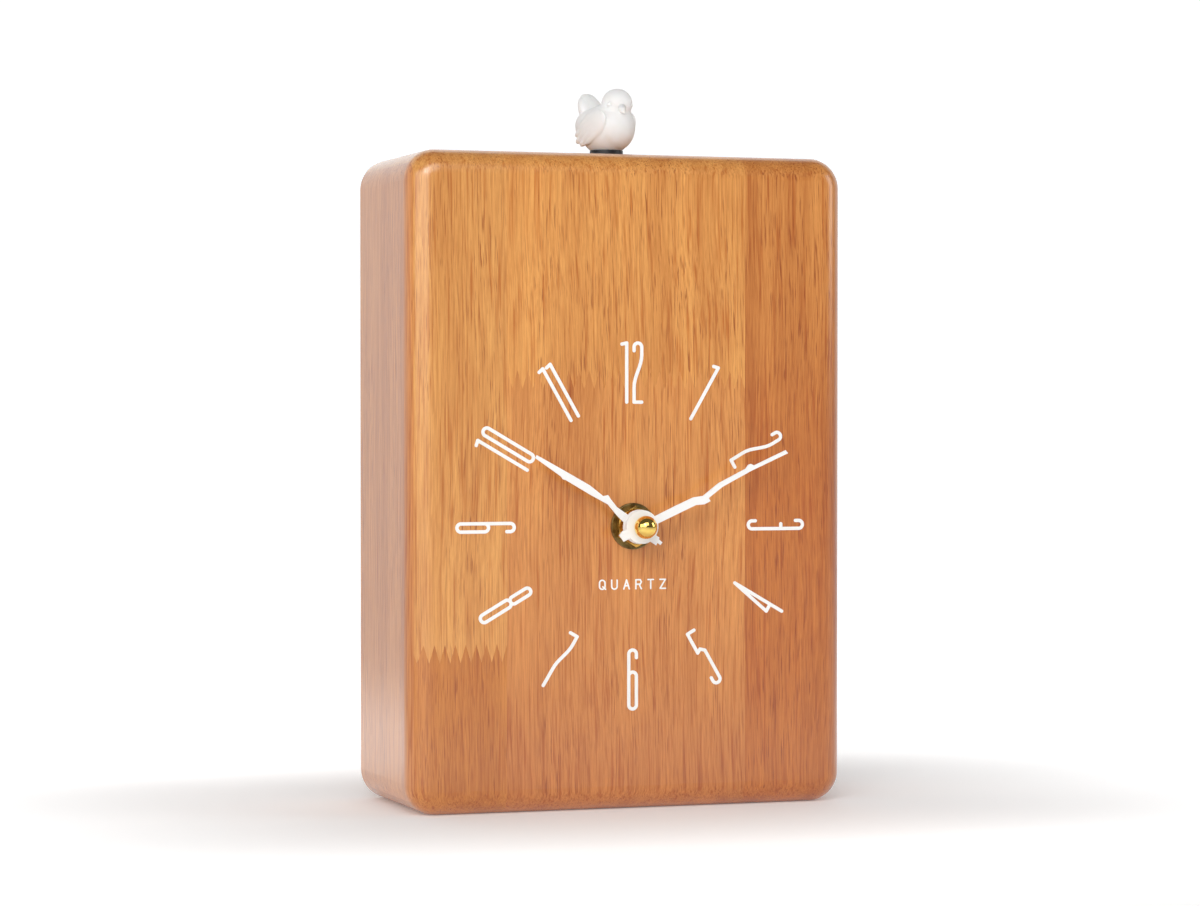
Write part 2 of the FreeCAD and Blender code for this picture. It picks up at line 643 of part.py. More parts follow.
def make_stator():
    plate = train_rod(4.4, ROTOR_AXIS, 7.6, 9.2)
    plate = plate.fuse(train_box(7.0, 18.0, 7.6, 9.2, 14.8, 16.4))
    plate = plate.fuse(train_box(7.0, 18.0, 7.6, 9.2, 7.6, 9.2))
    plate = plate.fuse(train_box(16.2, 18.0, 7.6, 9.2, 5.0, 9.2))
    plate = plate.fuse(train_box(16.2, 18.0, 7.6, 9.2, 14.8, 24.4))
    plate = plate.fuse(train_box(16.2, 22.4, 7.6, 9.2, 5.0, 6.6))
    plate = plate.fuse(train_box(16.2, 22.4, 7.6, 9.2, 22.8, 24.4))
    plate = plate.fuse(train_box(20.6, 22.4, 7.6, 9.2, 5.0, 24.4)).removeSplitter()
    return plate.cut(train_rod(3.0, ROTOR_AXIS, 7.6, 9.2))


def make_coil_bobbin():
    tube = train_box(COIL_X - 1.6, COIL_X + 1.6, COIL_V - 1.5, COIL_V + 1.5, COIL_LOW, COIL_HIGH)
    for z in (COIL_LOW, COIL_HIGH - 0.8):
        tube = tube.fuse(train_box(COIL_X - 3.2, COIL_X + 3.2, COIL_V - 3.0, COIL_V + 3.0, z, z + 0.8))
    return tube.cut(train_box(COIL_X - 0.95, COIL_X + 0.95, COIL_V - 0.85, COIL_V + 0.85,
                              COIL_LOW, COIL_HIGH))


def make_coil_winding():
    low = COIL_LOW + 0.85
    high = COIL_HIGH - 0.85
    body = train_box(COIL_X - 2.9, COIL_X + 2.9, COIL_V - 2.7, COIL_V + 2.7, low, high)
    uprights = [e for e in body.Edges if abs(e.tangentAt(e.FirstParameter).z) > 0.9]
    body = body.makeFillet(1.2, uprights)
    return body.cut(train_box(COIL_X - 1.65, COIL_X + 1.65, COIL_V - 1.55, COIL_V + 1.55, low, high))


def make_circuit_board():
    return train_box(-24.0, 14.0, 9.0, 10.0, 20.6, 26.4)


def make_driver_chip():
    return train_rod(2.4, (4.0, 23.5), 10.0, 11.0)


def make_quartz_crystal():
    return bar(1.0, -13.0, -6.5, depth(11.0), DIAL_Z + 23.5)


def make_cell():
    x0 = -CELL_LEN / 2
    can = bar(CELL_R, x0, x0 + CELL_LEN - CELL_NUB, depth(CELL_DEPTH), CELL_Z)
    rims = [e for e in can.Edges if isinstance(e.Curve, Part.Circle)]
    can = can.makeFillet(0.5, rims)
    nub = bar(CELL_NUB_R, x0 + CELL_LEN - CELL_NUB - 0.5, x0 + CELL_LEN, depth(CELL_DEPTH), CELL_Z)
    return can.fuse(nub)


def contact(side):
    plate_in = BAY_HALF_X - 0.45
    xs = sorted((side * plate_in, side * (BAY_HALF_X - 0.05)))
    plate = box(xs[0], xs[1], depth(1.6), depth(14.4), CELL_Z - 4.5, CELL_Z + 4.5)
    xs = sorted((side * plate_in, side * (CELL_LEN / 2 + 0.1)))
    return plate.fuse(bar(2.0, xs[0], xs[1], depth(CELL_DEPTH), CELL_Z))


def make_contact_positive():
    return contact(1)


def make_contact_negative():
    return contact(-1)


# ---------------------------------------------------------------- push button and bird

def make_guide_bush():
    ceiling = CASE_H - SIDE_WALL
    bush = post(BUSH_R, BIRD_X, BIRD_Y, BUSH_BOTTOM_Z, BUSH_TOP_Z)
    bush = bush.fuse(post(BUSH_FLANGE_R, BIRD_X, BIRD_Y, ceiling - BUSH_FLANGE_T, ceiling))
    for side in (-1, 1):
        bush = bush.fuse(post(LEG_R, BIRD_X + side * LEG_X, BIRD_Y, BOARD_TOP_Z, ceiling - 1.0))
    bush = bush.cut(post(STEM_R + RUN, BIRD_X, BIRD_Y, BUSH_FLOOR_Z, BUSH_TOP_Z))
    bush = bush.cut(post(SHANK_R + RUN, BIRD_X, BIRD_Y, BUSH_BOTTOM_Z, BUSH_FLOOR_Z))
    for side in (-1, 1):
        bush = bush.cut(post(0.9, BIRD_X + side * LEG_X, BIRD_Y, BOARD_TOP_Z, BOARD_TOP_Z + 7.0))
    return bush


def make_button_stem():
    stem = post(STEM_R, BIRD_X, BIRD_Y, SHOULDER_Z, STEM_TOP_Z)
    stem = stem.fuse(post(SHANK_R, BIRD_X, BIRD_Y, STEM_END_Z, SHOULDER_Z))
    stem = stem.fuse(post(2.0, BIRD_X, BIRD_Y, STEM_TOP_Z, STEM_TOP_Z + 4.0))
    groove = post(SHANK_R, BIRD_X, BIRD_Y, CLIP_Z, CLIP_Z + CLIP_T)
    groove = groove.cut(post(GROOVE_R, BIRD_X, BIRD_Y, CLIP_Z, CLIP_Z + CLIP_T))
    return stem.cut(groove)


def make_retaining_clip():
    z0 = CLIP_Z + RUN
    z1 = CLIP_Z + CLIP_T - RUN
    clip = post(CLIP_R, BIRD_X, BIRD_Y, z0, z1).cut(post(GROOVE_R + 0.02, BIRD_X, BIRD_Y, z0, z1))
    return clip.cut(box(BIRD_X - 1.9, BIRD_X + 1.9, BIRD_Y, BIRD_Y + CLIP_R, z0, z1))


def make_button_spring():
    low = BUSH_FLOOR_Z + SPRING_WIRE_R
    rise = SHOULDER_Z - SPRING_WIRE_R - low
    helix = Part.makeHelix(rise / SPRING_TURNS, rise, SPRING_R)
    corners = []
    for k in range(SPRING_SIDES + 1):
        angle = 2 * math.pi * k / SPRING_SIDES
        corners.append(V(SPRING_R + SPRING_WIRE_R * math.cos(angle), 0, SPRING_WIRE_R * math.sin(angle)))
    spring = Part.Wire(helix).makePipeShell([Part.makePolygon(corners)], True, True)
    spring.translate(V(BIRD_X, BIRD_Y, low))
    return spring


def make_sound_board():
    z0 = BOARD_TOP_Z - BOARD_T
    board = box(-12.0, 12.0, BIRD_Y - 6.5, 23.0, z0, BOARD_TOP_Z)
    for side in (-1, 1):
        board = board.cut(post(1.1, BIRD_X + side * LEG_X, BIRD_Y, z0, BOARD_TOP_Z))
    return board


def make_board_screws():
    z0 = BOARD_TOP_Z - BOARD_T
    screws = []
    for side in (-1, 1):
        x = BIRD_X + side * LEG_X
        screw = post(0.85, x, BIRD_Y, z0, BOARD_TOP_Z + 6.0).fuse(post(1.8, x, BIRD_Y, z0 - 1.3, z0))
        slot = box(x - 1.8, x + 1.8, BIRD_Y - 0.25, BIRD_Y + 0.25, z0 - 1.3, z0 - 0.7)
        cross = box(x - 0.25, x + 0.25, BIRD_Y - 1.8, BIRD_Y + 1.8, z0 - 1.3, z0 - 0.7)
        screws.append(screw.cut(slot).cut(cross))
    return Part.makeCompound(screws)


def make_tact_switch():
    switch = box(BIRD_X - 3, BIRD_X + 3, BIRD_Y - 3, BIRD_Y + 3, BOARD_TOP_Z, BOARD_TOP_Z + 3.2)
    return switch.fuse(post(1.7, BIRD_X, BIRD_Y, BOARD_TOP_Z + 3.2, BOARD_TOP_Z + 3.7))


def make_buzzer():
    z0 = BOARD_TOP_Z - BOARD_T
    buzzer = post(6.0, 0, 9.0, z0 - 4.5, z0)
    return buzzer.cut(post(1.0, 0, 9.0, z0 - 4.5, z0 - 1.5))


def make_coin_cell():
    return post(6.25, 0, 14.5, BOARD_TOP_Z + 0.2, BOARD_TOP_Z + 2.2)


def make_coin_cell_clip():
    y0 = 12.5
    y1 = 16.5
    top = BOARD_TOP_Z + 2.3
    strip = box(-7.0, 7.0, y0, y1, top, top + 0.4)
    for x in (-7.0, 6.6):
        strip = strip.fuse(box(x, x + 0.4, y0, y1, BOARD_TOP_Z, top + 0.4))
    return strip


def ellipsoid(centre, radii, turn_z, tilt_y):
    ball = Part.makeSphere(1.0)
    grow = FreeCAD.Matrix()
    grow.scale(V(*radii))
    ball = ball.transformGeometry(grow)
    ball.rotate(V(0, 0, 0), V(0, 1, 0), tilt_y)
    ball.rotate(V(0, 0, 0), V(0, 0, 1), turn_z)
    ball.translate(V(*centre))
    return ball


def make_bird_figurine():
    x = BIRD_X
    y = BIRD_Y
    bird = ellipsoid((x - 0.6, y + 0.2, 209.4), (9.6, 8.0, 7.5), -35, 0)
    bird = bird.fuse(ellipsoid((x + 3.1, y - 1.8, 216.4), (5.1, 5.1, 5.1), 0, 0))
    bird = bird.fuse(ellipsoid((x - 6.2, y + 2.4, 214.6), (2.6, 3.0, 6.6), -35, -28))
    beak = Part.makeCone(1.5, 0.25, 3.4, V(x + 4.9, y - 5.6, 215.8), V(0.45, -0.85, -0.28))
    bird = bird.fuse(beak)
    foot = post(5.5, x, y, STEM_TOP_Z, STEM_TOP_Z + 3.5)
    bird = bird.fuse(foot)
    bird = bird.cut(box(x - 20, x + 20, y - 20, y + 20, STEM_TOP_Z - 5, STEM_TOP_Z))
    return bird.cut(post(2.0 + RUN, x, y, STEM_TOP_Z, STEM_TOP_Z + 4.1))


PARTS = {
    "wood_case": make_wood_case,
    "case_magnets": make_case_magnets,
    "rear_cover": make_rear_cover,
    "cover_discs": make_cover_discs,
    "dial_numerals": make_dial_numerals,
    "dial_word": make_dial_word,
    "hour_hand": make_hour_hand,
    "minute_hand": make_minute_hand,
    "cap_nut": make_cap_nut,
    "dial_washer": make_dial_washer,
    "hex_nut": make_hex_nut,
    "threaded_post": make_threaded_post,
    "rubber_gasket": make_rubber_gasket,
    "centre_wheel": make_centre_wheel,
    "third_wheel": make_third_wheel,
    "seconds_wheel": make_seconds_wheel,
    "intermediate_wheel": make_intermediate_wheel,
    "rotor_pinion": make_rotor_pinion,
    "rotor_magnet": make_rotor_magnet,
    "minute_arbor": make_minute_arbor,
    "minute_wheel": make_minute_wheel,
    "hour_wheel": make_hour_wheel,
    "setting_knob": make_setting_knob,
    "movement_front_shell": make_movement_front_shell,
    "movement_rear_shell": make_movement_rear_shell,
    "stator": make_stator,
    "coil_bobbin": make_coil_bobbin,
    "coil_winding": make_coil_winding,
    "circuit_board": make_circuit_board,
    "driver_chip": make_driver_chip,
    "quartz_crystal": make_quartz_crystal,
    "battery_cell": make_cell,
    "contact_positive": make_contact_positive,
    "contact_negative": make_contact_negative,
    "guide_bush": make_guide_bush,
    "button_stem": make_button_stem,
    "retaining_clip": make_retaining_clip,
    "button_spring": make_button_spring,
    "sound_board": make_sound_board,
    "board_screws": make_board_screws,
    "tact_switch": make_tact_switch,
    "buzzer": make_buzzer,
    "coin_cell": make_coin_cell,
    "coin_cell_clip": make_coin_cell_clip,
    "bird_figurine": make_bird_figurine,
}

os.makedirs("parts", exist_ok=True)
for node, make in PARTS.items():
    shape = make()
    shape.exportStep("parts/" + node + ".step")
    box_of = shape.BoundBox
    print(node, shape.isValid(), len(shape.Solids), round(shape.Volume, 2),
          [round(value, 2) for value in (box_of.XMin, box_of.XMax, box_of.YMin, box_of.YMax,
                                         box_of.ZMin, box_of.ZMax)])
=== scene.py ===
import bmesh
import bpy
import math
from mathutils import Matrix, Vector, noise


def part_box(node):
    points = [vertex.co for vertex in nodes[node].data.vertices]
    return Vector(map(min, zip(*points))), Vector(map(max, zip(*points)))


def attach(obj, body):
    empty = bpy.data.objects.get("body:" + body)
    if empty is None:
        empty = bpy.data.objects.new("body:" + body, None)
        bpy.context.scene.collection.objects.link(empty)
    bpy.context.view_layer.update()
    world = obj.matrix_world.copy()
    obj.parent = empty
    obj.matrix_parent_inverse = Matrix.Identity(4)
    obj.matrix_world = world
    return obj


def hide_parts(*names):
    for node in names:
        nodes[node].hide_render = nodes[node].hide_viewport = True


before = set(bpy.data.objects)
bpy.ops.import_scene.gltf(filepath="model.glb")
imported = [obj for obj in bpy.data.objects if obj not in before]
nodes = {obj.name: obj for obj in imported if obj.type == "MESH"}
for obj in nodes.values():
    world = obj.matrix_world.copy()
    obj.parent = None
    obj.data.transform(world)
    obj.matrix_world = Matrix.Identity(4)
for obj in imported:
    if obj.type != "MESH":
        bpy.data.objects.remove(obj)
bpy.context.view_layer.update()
MM = 0.001


# ---------------------------------------------------------------- material helper

class Graph:
    """A Principled material with short calls for the nodes behind it.  Coordinates are millimetres."""

    def __init__(self, name):
        self.mat = bpy.data.materials.new(name)
        self.mat.use_nodes = True
        self.tree = self.mat.node_tree
        self.shader = next(n for n in self.tree.nodes if n.type == "BSDF_PRINCIPLED")
        coords = self.tree.nodes.new("ShaderNodeTexCoord").outputs["Object"]
        self.point = self.vector("MULTIPLY", coords, (1000.0, 1000.0, 1000.0))

    def feed(self, socket, value):
        if isinstance(value, bpy.types.NodeSocket):
            self.tree.links.new(value, socket)
        else:
            socket.default_value = value

    def vector(self, operation, a, b):
        node = self.tree.nodes.new("ShaderNodeVectorMath")
        node.operation = operation
        self.feed(node.inputs[0], a)
        self.feed(node.inputs[1], b)
        return node.outputs[0]

    def calc(self, operation, a, b=0.0, c=0.0):
        node = self.tree.nodes.new("ShaderNodeMath")
        node.operation = operation
        for socket, value in zip(node.inputs, (a, b, c)):
            self.feed(socket, value)
        return node.outputs[0]

    def split(self, vector):
        node = self.tree.nodes.new("ShaderNodeSeparateXYZ")
        self.feed(node.inputs[0], vector)
        return node.outputs

    def join(self, x, y, z):
        node = self.tree.nodes.new("ShaderNodeCombineXYZ")
        for socket, value in zip(node.inputs, (x, y, z)):
            self.feed(socket, value)
        return node.outputs[0]

    def noise(self, vector, stretch, detail=2.0, rough=0.5, distortion=0.0):
        node = self.tree.nodes.new("ShaderNodeTexNoise")
        self.feed(node.inputs["Vector"], self.vector("MULTIPLY", vector, stretch))
        node.inputs["Scale"].default_value = 1.0
        node.inputs["Detail"].default_value = detail
        node.inputs["Roughness"].default_value = rough
        node.inputs["Distortion"].default_value = distortion
        return node.outputs["Fac"]

    def cells(self, vector, stretch, feature="F1"):
        node = self.tree.nodes.new("ShaderNodeTexVoronoi")
        node.feature = feature
        self.feed(node.inputs["Vector"], self.vector("MULTIPLY", vector, stretch))
        node.inputs["Scale"].default_value = 1.0
        return node.outputs["Distance"]

    def ramp(self, value, stops, mode="LINEAR"):
        node = self.tree.nodes.new("ShaderNodeValToRGB")
        node.color_ramp.interpolation = mode
        elements = node.color_ramp.elements
        while len(elements) < len(stops):
            elements.new(0.5)
        for element, (place, colour) in zip(elements, stops):
            element.position = place
            shade = (colour,) * 3 if isinstance(colour, float) else colour
            element.color = (*shade, 1.0)
        self.feed(node.inputs[0], value)
        return node.outputs[0]

    def mix(self, factor, a, b, mode="MIX"):
        node = self.tree.nodes.new("ShaderNodeMix")
        node.data_type = "RGBA"
        node.blend_type = mode
        self.feed(node.inputs[0], factor)
        for socket, value in ((node.inputs[6], a), (node.inputs[7], b)):
            self.feed(socket, (*value, 1.0) if isinstance(value, tuple) else value)
        return node.outputs[2]

    def bump(self, height, distance, strength=1.0):
        node = self.tree.nodes.new("ShaderNodeBump")
        node.inputs["Strength"].default_value = strength
        node.inputs["Distance"].default_value = distance * MM
        self.feed(node.inputs["Height"], height)
        self.feed(self.shader.inputs["Normal"], node.outputs[0])

    def set(self, **values):
        for key, value in values.items():
            self.feed(self.shader.inputs[key.replace("_", " ")], value)


def srgb(r, g, b):
    return tuple(c / 12.92 if c <= 0.04045 else ((c + 0.055) / 1.055) ** 2.4
                 for c in (r / 255, g / 255, b / 255))


def toned(colour, gain):
    return tuple(min(1.0, c * gain) for c in colour)


def paint_nodes(material, names):
    for name in names:
        mesh = nodes[name].data
        mesh.materials.clear()
        mesh.materials.append(material)


# ---------------------------------------------------------------- wood

# glue seams between the strips (x) and the heights of the finger joints (z), in millimetres
SEAM_OUTER = -68.3
SEAM_LEFT = -40.0
SEAM_RIGHT = 36.7
FINGER_PITCH = 3.25
FINGER_TALL = 5.6
FINGER_Z_MID = 131.0
FINGER_Z_LEFT = 48.8


def rubberwood(name, boards, jointed, coat):
    """Lacquered rubberwood, grain along z.  boards holds the six colours of the strips, see BOARDS."""
    g = Graph(name)
    # which strip a point belongs to; the ends of two strips meet in a row of teeth
    x, y, z = g.split(g.point)[:3]
    wave = g.calc("PINGPONG", g.calc("ADD", x, 0.9), FINGER_PITCH / 2)
    teeth = g.calc("MULTIPLY_ADD", wave, 2 * FINGER_TALL / FINGER_PITCH, -FINGER_TALL / 2)
    raised = g.calc("ADD", z, teeth)
    outer = g.calc("LESS_THAN", x, SEAM_OUTER)
    left = g.calc("SUBTRACT", g.calc("LESS_THAN", x, SEAM_LEFT), outer)
    right = g.calc("GREATER_THAN", x, SEAM_RIGHT)
    high_left = g.calc("GREATER_THAN", raised, FINGER_Z_LEFT)
    high_mid = g.calc("GREATER_THAN", raised, FINGER_Z_MID)
    middle = g.calc("SUBTRACT", g.calc("SUBTRACT", g.calc("SUBTRACT", 1.0, left), right), outer)
    index = g.calc("MULTIPLY", left, g.calc("ADD", high_left, 0.5))
    index = g.calc("ADD", index, g.calc("MULTIPLY", middle, g.calc("ADD", high_mid, 2.5)))
    index = g.calc("ADD", index, g.calc("MULTIPLY", right, 4.5))
    index = g.calc("ADD", index, g.calc("MULTIPLY", outer, 5.5))
    if not jointed:
        index = 2.5
    steps = [(k / 6, colour) for k, colour in enumerate(boards)]
    base = g.ramp(g.calc("DIVIDE", index, 6.0), steps, "CONSTANT")
    # slow changes of tone inside the right strip and the lower middle one, and a painted shade that darkens
    # the middle strip towards its bottom edge
    if jointed:
        upper = g.calc("MULTIPLY", right, g.ramp(g.calc("MULTIPLY", z, 0.005), [(0.50, 0.0), (0.92, 0.62)]))
        base = g.mix(upper, base, boards[3])
        below = g.ramp(g.calc("MULTIPLY", z, 0.005), [(0.30, 0.0), (0.50, 0.4), (0.66, 0.25)])
        below = g.calc("MULTIPLY", below, g.calc("MULTIPLY", middle, g.calc("SUBTRACT", 1.0, high_mid)))
        base = g.mix(below, base, boards[3])
        # painted shade: the middle strip darkens towards the bottom, blended towards the darkest board
        # colour
        painted_foot_shade = g.calc("MULTIPLY", middle, g.ramp(g.calc("MULTIPLY", z, 0.005), [(0.05, 0.65), (0.28, 0.0)]))
        base = g.mix(painted_foot_shade, base, boards[4])

    # each board has its own piece of grain
    shifted = g.vector("ADD", g.point, g.join(g.calc("MULTIPLY", index, 37.1),
                                              g.calc("MULTIPLY", index, 11.7),
                                              g.calc("MULTIPLY", index, 191.3)))
    drift = g.calc("MULTIPLY_ADD", g.noise(shifted, (0.02, 0.02, 0.010), 1.0), 6.0, -3.0)
    flow = g.vector("ADD", shifted, g.join(drift, drift, 0.0))

    # from wide figure to single fibres, all stretched along the grain
    broad = g.noise(flow, (0.13, 0.13, 0.006), 3.0, 0.55)
    bands = g.noise(flow, (1.35, 1.35, 0.034), 2.0, 0.5)
    fibre = g.noise(flow, (3.1, 3.1, 0.075), 3.0, 0.6)
    fleck = g.noise(flow, (5.0, 5.0, 0.5), 2.0, 0.6)
    pore_field = g.noise(flow, (2.7, 2.7, 0.10), 2.0, 0.45)
    crowd = g.noise(flow, (0.11, 0.11, 0.012), 2.0, 0.5)
    crowd = g.calc("MULTIPLY_ADD", right if jointed else 0.0, 0.10, crowd)
    pores = g.calc("MULTIPLY", g.ramp(pore_field, [(0.57, 0.0), (0.70, 1.0)]),
                   g.ramp(crowd, [(0.38, 0.15), (0.62, 1.0)]))

    colour = g.mix(1.0, base, g.ramp(broad, [(0.30, (0.86, 0.77, 0.68)), (0.50, (1.0, 1.0, 1.0)),
                                             (0.70, (1.10, 1.14, 1.17))]), "MULTIPLY")
    colour = g.mix(1.0, colour, g.ramp(bands, [(0.30, (0.80, 0.60, 0.42)), (0.46, (1.0, 1.0, 1.0)),
                                               (0.70, (1.08, 1.12, 1.14))]), "MULTIPLY")
    colour = g.mix(1.0, colour, g.ramp(fibre, [(0.30, (0.85, 0.74, 0.64)), (0.62, (1.07, 1.10, 1.12))]),
                   "MULTIPLY")
    colour = g.mix(0.5, colour, g.ramp(fleck, [(0.3, (0.93, 0.90, 0.87)), (0.7, (1.05, 1.05, 1.05))]),
                   "MULTIPLY")
    colour = g.mix(g.calc("MULTIPLY", pores, 0.85), colour, srgb(148, 66, 16))
    g.set(Base_Color=colour, Specular_IOR_Level=0.25)
    g.set(Coat_Weight=coat, Coat_Roughness=0.20, Coat_IOR=1.65)
    g.set(Roughness=g.calc("MULTIPLY_ADD", fibre, 0.16, 0.34))
    relief = g.calc("MULTIPLY_ADD", fibre, 0.5, g.calc("MULTIPLY", pores, -1.0))
    g.bump(relief, 0.05, 0.45)
    return g.mat


# ---------------------------------------------------------------- other materials

def moulded(name, colour, rough=0.5, grain=3.0, depth=0.012, spread=0.12, coat=0.0, sheen=0.0):
    """Moulded or painted surface: faint cloudy tone, uneven gloss and a fine skin texture."""
    g = Graph(name)
    cloud = g.noise(g.point, (0.12, 0.12, 0.12), 3.0)
    skin = g.noise(g.point, (grain, grain, grain), 3.0, 0.6)
    low = toned(colour, 1.0 - spread)
    high = toned(colour, 1.0 + spread)
    g.set(Base_Color=g.ramp(cloud, [(0.3, low), (0.7, high)]))
    g.set(Roughness=g.calc("MULTIPLY_ADD", skin, 0.16, rough - 0.08))
    g.set(Coat_Weight=coat, Coat_Roughness=0.12, Sheen_Weight=sheen)
    g.bump(skin, depth)
    return g.mat


def metal(name, colour, rough, turned=None, tarnish=None, scratch=0.02):
    """Metal with fine scratches; turned gives rings about the dial's centre, tarnish a darker tone."""
    g = Graph(name)
    wear = g.noise(g.point, (0.5, 0.5, 0.5), 4.0, 0.6)
    fine = g.noise(g.point, (9.0, 0.6, 9.0), 2.0)
    tone = tarnish or toned(colour, 0.82)
    g.set(Base_Color=g.ramp(wear, [(0.30, tone), (0.62, colour)]), Metallic=1.0)
    g.set(Roughness=g.calc("MULTIPLY_ADD", g.calc("ADD", wear, fine), scratch * 2, rough - scratch * 2))
    height = fine
    if turned:
        x, y, z = g.split(g.vector("SUBTRACT", g.point, (0.0, 0.0, turned)))[:3]
        radius = g.calc("SQRT", g.calc("ADD", g.calc("MULTIPLY", x, x), g.calc("MULTIPLY", z, z)))
        rings = g.calc("SINE", g.calc("MULTIPLY", radius, 42.0))
        height = g.calc("MULTIPLY_ADD", rings, 0.5, fine)
    g.bump(height, 0.004, 0.6)
    return g.mat


def coil_copper():
    g = Graph("copper_winding")
    z = g.split(g.point)[2]
    turns = g.calc("SINE", g.calc("MULTIPLY", z, 2 * math.pi / 0.16))
    tone = g.noise(g.point, (0.9, 0.9, 0.9), 3.0)
    g.set(Base_Color=g.ramp(tone, [(0.3, srgb(150, 74, 38)), (0.7, srgb(206, 118, 66))]), Metallic=1.0)
    g.set(Roughness=g.calc("MULTIPLY_ADD", turns, 0.06, 0.30), Coat_Weight=0.6, Coat_Roughness=0.1)
    g.bump(turns, 0.03, 0.8)
    return g.mat


def board_laminate():
    g = Graph("board_laminate")
    weave = g.calc("MULTIPLY", g.calc("SINE", g.calc("MULTIPLY", g.split(g.point)[0], 9.0)),
                   g.calc("SINE", g.calc("MULTIPLY", g.split(g.point)[2], 9.0)))
    tracks = g.cells(g.point, (0.42, 0.42, 0.42), "DISTANCE_TO_EDGE")
    copper = g.ramp(tracks, [(0.06, 1.0), (0.09, 0.0)])
    green = g.mix(copper, srgb(22, 92, 48), srgb(44, 128, 66))
    tone = g.noise(g.point, (0.3, 0.3, 0.3), 2.0)
    g.set(Base_Color=g.mix(g.ramp(tone, [(0.3, 0.0), (0.7, 0.35)]), green, srgb(14, 70, 38)))
    g.set(Roughness=g.calc("MULTIPLY_ADD", weave, 0.05, 0.30), Coat_Weight=0.5, Coat_Roughness=0.15)
    g.bump(g.calc("MULTIPLY_ADD", weave, 0.2, copper), 0.03)
    return g.mat


def cell_wrap():
    """Plain shrink sleeve of the cell: dark body, a copper-coloured band at the button end."""
    g = Graph("cell_sleeve")
    x = g.split(g.point)[0]
    band = g.ramp(g.calc("MULTIPLY_ADD", x, 0.01, 0.5), [(0.0, 0.0), (0.60, 1.0)], "CONSTANT")
    steel = g.ramp(g.calc("MULTIPLY_ADD", x, 0.01, 0.5), [(0.0, 1.0), (0.252, 0.0), (0.742, 1.0)],
                   "CONSTANT")
    colour = g.mix(band, srgb(30, 44, 74), srgb(176, 104, 58))
    scuff = g.noise(g.point, (0.7, 0.7, 0.7), 4.0, 0.65)
    colour = g.mix(steel, colour, srgb(196, 196, 192))
    g.set(Base_Color=g.mix(g.ramp(scuff, [(0.62, 0.0), (0.78, 0.25)]), colour, srgb(150, 150, 150)))
    g.set(Metallic=g.calc("MULTIPLY_ADD", steel, 0.7, 0.3), Coat_Weight=0.5, Coat_Roughness=0.08)
    g.set(Roughness=g.calc("MULTIPLY_ADD", scuff, 0.14, 0.18))
    g.bump(scuff, 0.008)
    return g.mat


def bird_glaze():
    g = Graph("bird_bisque")
    cloud = g.noise(g.point, (0.25, 0.25, 0.25), 3.0)
    skin = g.noise(g.point, (4.5, 4.5, 4.5), 3.0, 0.6)
    g.set(Base_Color=g.ramp(cloud, [(0.3, srgb(244, 243, 241)), (0.7, srgb(250, 249, 248))]))
    g.set(Roughness=g.calc("MULTIPLY_ADD", skin, 0.18, 0.42), Subsurface_Weight=0.12)
    g.set(Subsurface_Radius=(0.6 * MM, 0.45 * MM, 0.35 * MM), Subsurface_Scale=1.0)
    g.bump(skin, 0.02, 0.6)
    return g.mat


DIAL_Z = 86.5
# left low, left high, middle low, middle high, right, outer left lamella
BOARDS = (srgb(199, 123, 52), srgb(219, 153, 82), srgb(212, 139, 73),
          srgb(223, 154, 81), srgb(190, 109, 44), srgb(212, 138, 73))
lacquered = rubberwood("rubberwood_lacquered", BOARDS, True, 1.0)
back_board = rubberwood("rear_board", tuple(toned(c, 0.72) for c in BOARDS), False, 0.15)
print_ink = moulded("print_ink", srgb(249, 248, 245), 0.45, 6.0, 0.006, 0.02)
hand_paint = moulded("hand_paint", srgb(250, 249, 247), 0.36, 5.0, 0.006, 0.02, 0.3)
gold = metal("polished_gold", srgb(248, 214, 120), 0.06, None, srgb(244, 204, 104), 0.01)
brass = metal("turned_brass", srgb(226, 180, 92), 0.20, DIAL_Z, srgb(196, 148, 66))
antique = metal("antique_brass", srgb(150, 130, 84), 0.30, DIAL_Z, srgb(96, 80, 46))
arbor_brass = metal("arbor_brass", srgb(214, 176, 104), 0.24)
steel = metal("spring_steel", srgb(198, 199, 200), 0.24)
nickel = metal("nickel_plate", srgb(208, 206, 200), 0.14)
soft_iron = metal("soft_iron", srgb(150, 151, 153), 0.36)
magnet_dark = metal("magnet_ferrite", srgb(84, 84, 88), 0.42)
shell_black = moulded("movement_black", srgb(34, 34, 36), 0.52, 2.2, 0.03)
knob_black = moulded("knob_black", srgb(40, 40, 42), 0.46, 2.6, 0.02)
stem_black = moulded("stem_black", srgb(26, 28, 32), 0.40, 3.2, 0.015)
bush_black = moulded("bush_black", srgb(38, 38, 40), 0.48, 2.4, 0.02)
rubber = moulded("gasket_rubber", srgb(30, 30, 30), 0.78, 2.0, 0.05)
gear_white = moulded("gear_acetal", srgb(236, 234, 226), 0.40, 3.4, 0.008, 0.03)
gear_natural = moulded("gear_nylon", srgb(222, 214, 188), 0.42, 3.4, 0.008, 0.04)
bobbin_white = moulded("bobbin_nylon", srgb(228, 224, 210), 0.44, 3.0, 0.01, 0.04)
epoxy = moulded("chip_epoxy", srgb(22, 22, 24), 0.22, 1.4, 0.02, 0.2, 0.4)
switch_black = moulded("switch_black", srgb(44, 44, 46), 0.50, 3.0, 0.015)

